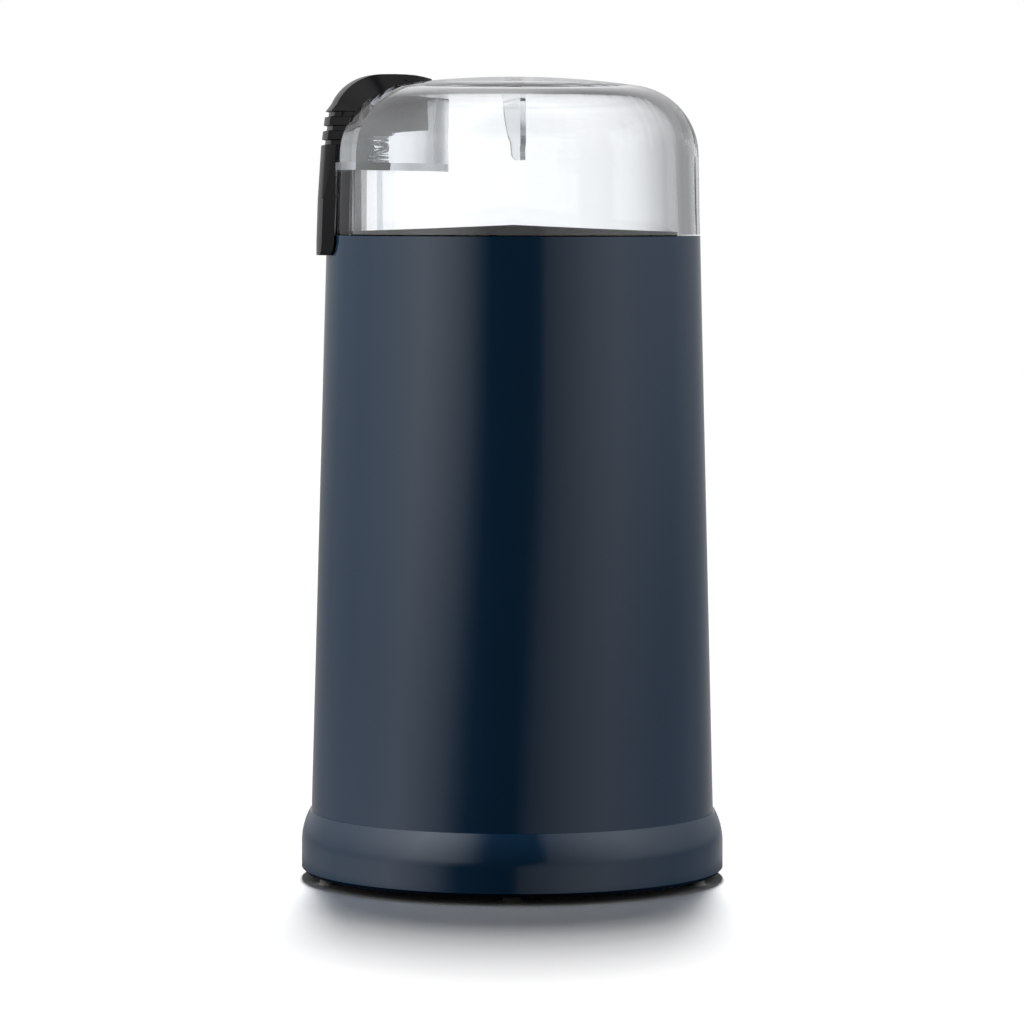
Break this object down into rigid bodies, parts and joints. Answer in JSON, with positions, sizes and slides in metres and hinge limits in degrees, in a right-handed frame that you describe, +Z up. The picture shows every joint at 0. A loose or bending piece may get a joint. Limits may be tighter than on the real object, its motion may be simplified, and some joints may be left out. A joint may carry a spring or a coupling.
{
  "type": "electric spice grinder",
  "caption": "Round navy blade grinder with a thick clear dome lid, a black push button on the lid, a steel bowl with a spinning blade, and a motor in the tapered body.",
  "frame": {"origin": "middle of the footprint, on the surface that the rubber feet stand on", "axes": "+Z up along the motor shaft, -X towards the push button, +Y towards the cord entry"},
  "size_m": [0.0942, 0.0942, 0.1788],
  "materials": {
    "navy_abs": "gloss moulded, dark navy",
    "clear_san": "clear, thick moulded",
    "black_abs": "satin moulded, black",
    "stainless": "brushed",
    "collar_pp": "matt, dark brown black",
    "foot_rubber": "matt grey",
    "black_rubber": "matt black",
    "silicone": "matt, red brown",
    "zinc_steel": "zinc plated",
    "spring_steel": "bright drawn wire",
    "shaft_steel": "ground",
    "lamination": "stacked electrical steel",
    "copper_wire": "enamelled winding",
    "copper_bar": "turned copper",
    "bronze": "sintered bronze",
    "brass_sheet": "stamped",
    "carbon": "matt graphite",
    "ivory_pa": "matt, natural nylon",
    "cover_pp": "fine textured, black",
    "phenolic": "matt, dark grey",
    "red_pbt": "satin red",
    "film_case": "satin amber",
    "ceramic_body": "matt cream",
    "wire_jacket": "satin pvc"
  },
  "bodies": {
    "base_body": {"housing": "navy_abs", "base_ring": "navy_abs", "bottom_cover": "cover_pp", "feet": "foot_rubber", "base_screws": "zinc_steel", "cover_screws": "zinc_steel", "bowl": "stainless", "bowl_collar": "collar_pp", "bowl_bush": "ivory_pa", "bush_nut": "zinc_steel", "shaft_seal": "silicone", "rod_spring": "spring_steel", "microswitch": "phenolic", "switch_screws": "zinc_steel", "field_core": "lamination", "field_coils": "copper_wire", "upper_bracket": "zinc_steel", "lower_bracket": "zinc_steel", "upper_bearing": "bronze", "lower_bearing": "bronze", "motor_bolts": "zinc_steel", "motor_nuts": "zinc_steel", "motor_mounts": "black_rubber", "mount_screws": "zinc_steel", "brush_holders": "brass_sheet", "brush_spring_left": "spring_steel", "brush_spring_right": "spring_steel", "thermal_fuse": "ceramic_body", "capacitor": "film_case", "cord_gland": "black_rubber", "cord_clamp": "ivory_pa", "clamp_screws": "zinc_steel", "lead_wires": "wire_jacket"},
    "lid_body": {"lid": "clear_san", "button_spring": "spring_steel"},
    "button_body": {"button": "black_abs"},
    "rotor_body": {"shaft": "shaft_steel", "blade": "stainless", "blade_hub": "shaft_steel", "blade_nut": "stainless", "thrust_washers": "bronze", "fan": "ivory_pa", "armature_core": "lamination", "armature_windings": "copper_wire", "commutator": "copper_bar"},
    "rod_body": {"switch_rod": "ivory_pa"},
    "lever_body": {"switch_lever": "zinc_steel"},
    "plunger_body": {"switch_plunger": "red_pbt"},
    "left_brush_body": {"brush_left": "carbon"},
    "right_brush_body": {"brush_right": "carbon"}
  },
  "joints": [
    {"name": "lid_lift", "type": "slide", "parent": "base_body", "child": "lid_body", "axis": [0, 0, 1], "range_m": [0, 0.06]},
    {"name": "button_press", "type": "slide", "parent": "lid_body", "child": "button_body", "axis": [0, 0, -1], "range_m": [0, 0.0035], "stiffness_N_per_m": 900, "springref_m": -0.002, "deforming": ["button_spring"]},
    {"name": "rotor_spin", "type": "hinge", "parent": "base_body", "child": "rotor_body", "pos_m": [0, 0, 0.06], "axis": [0, 0, 1], "continuous": true},
    {"name": "rod_slide", "type": "slide", "parent": "base_body", "child": "rod_body", "axis": [0, 0, -1], "range_m": [0, 0.0035], "deforming": ["rod_spring"]},
    {"name": "lever_tilt", "type": "hinge", "parent": "base_body", "child": "lever_body", "pos_m": [-0.0376, -0.009, 0.0988], "axis": [1, 0, 0], "range_deg": [-20.8, 0]},
    {"name": "plunger_slide", "type": "slide", "parent": "base_body", "child": "plunger_body", "axis": [0, 0, -1], "range_m": [0, 0.00074]},
    {"name": "left_brush_slide", "type": "slide", "parent": "base_body", "child": "left_brush_body", "axis": [0, -1, 0], "range_m": [0, 0.0015], "stiffness_N_per_m": 120, "springref_m": -0.004, "deforming": ["brush_spring_left"]},
    {"name": "right_brush_slide", "type": "slide", "parent": "base_body", "child": "right_brush_body", "axis": [0, 1, 0], "range_m": [0, 0.0015], "stiffness_N_per_m": 120, "springref_m": -0.004, "deforming": ["brush_spring_right"]}
  ],
  "couplings": [
    {"joint": "rod_slide", "follows": "button_press", "ratio": 1},
    {"joint": "lever_tilt", "follows": "button_press", "rad_per_m": -103.7},
    {"joint": "plunger_slide", "follows": "button_press", "ratio": 0.2114}
  ]
}
